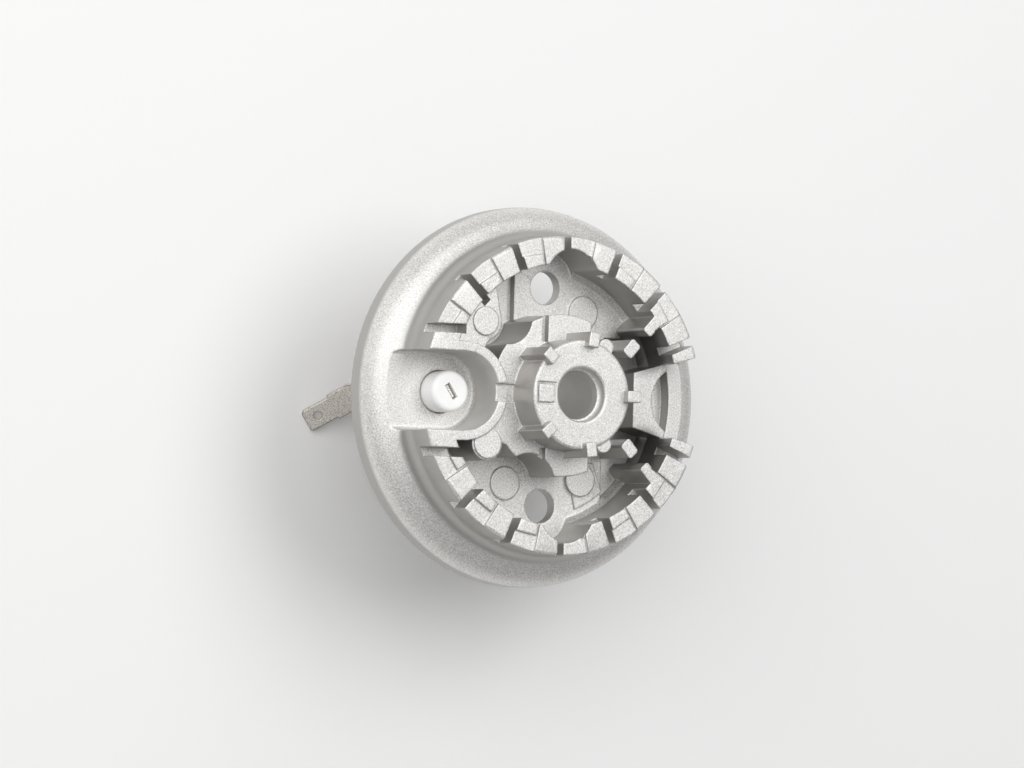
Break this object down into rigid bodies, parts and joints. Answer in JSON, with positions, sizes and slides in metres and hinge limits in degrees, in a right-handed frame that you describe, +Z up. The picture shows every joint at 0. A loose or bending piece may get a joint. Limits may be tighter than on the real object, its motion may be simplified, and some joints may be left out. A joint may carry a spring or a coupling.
{
  "type": "gas burner base",
  "caption": "Cast gas burner base with a ring of slotted flame ports, raised hub with a central gas throat, screw wells and a ceramic spark electrode with a spade terminal.",
  "frame": {"origin": "on the throat's axis, in the plane of the rim's lower edge", "axes": "+Z up along the throat's axis, +X towards the cross-lighting gap, so the electrode is at -X"},
  "size_m": [0.0636, 0.0636, 0.0511],
  "materials": {
    "cast_aluminium": "blasted die casting, fine grain",
    "white_ceramic": "smooth, satin",
    "plated_strip": "dull plated",
    "spring_steel": "dull rolled"
  },
  "bodies": {
    "root": {"burner_base": "cast_aluminium", "electrode_insulator": "white_ceramic", "electrode_strip": "plated_strip", "retaining_clip": "spring_steel"}
  },
  "joints": []
}
